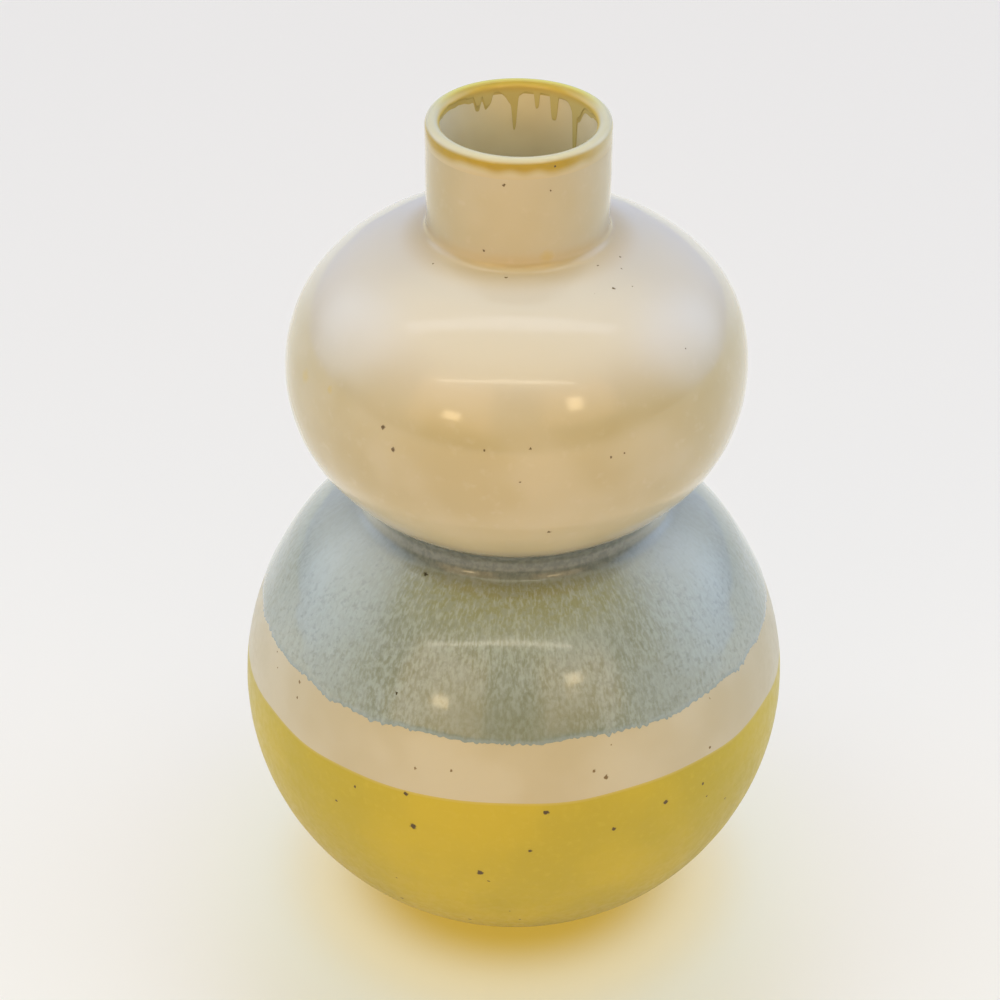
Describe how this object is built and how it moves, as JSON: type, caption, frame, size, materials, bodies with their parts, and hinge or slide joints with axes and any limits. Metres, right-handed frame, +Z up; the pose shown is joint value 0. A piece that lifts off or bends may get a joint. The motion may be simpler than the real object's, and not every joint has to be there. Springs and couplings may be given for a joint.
{
  "type": "double gourd vase",
  "caption": "Double gourd stoneware vase: two stacked bulbs with a slim waist, a short cylindrical neck, a foot ring and banded glazes.",
  "frame": {"origin": "on the axis of the vase, at table level under the foot ring", "axes": "+Z up along the axis of the vase; it is turned, so X and Y are alike"},
  "size_m": [0.13, 0.13, 0.2001],
  "materials": {
    "bare_clay": "unglazed fired stoneware, fine grain",
    "slip_seam": "fired slip, matte",
    "yellow_glaze": "satin yellow glaze with iron specks",
    "cream_band_glaze": "satin cream glaze",
    "blue_glaze": "glossy streaked blue-grey glaze",
    "cream_glaze": "glossy cream-tan glaze with iron specks",
    "amber_rim_glaze": "glossy amber glaze, thin and pale on the lip",
    "inner_glaze": "glossy olive-cream liner glaze"
  },
  "bodies": {
    "root": {"foot_ring": "bare_clay", "foot_slip_joint": "slip_seam", "lower_bulb": "bare_clay", "waist_slip_joint": "slip_seam", "upper_bulb": "bare_clay", "neck_slip_joint": "slip_seam", "neck_collar": "bare_clay", "yellow_glaze": "yellow_glaze", "cream_band_glaze": "cream_band_glaze", "blue_glaze": "blue_glaze", "cream_glaze": "cream_glaze", "amber_rim_glaze": "amber_rim_glaze", "inner_glaze": "inner_glaze"}
  },
  "joints": []
}
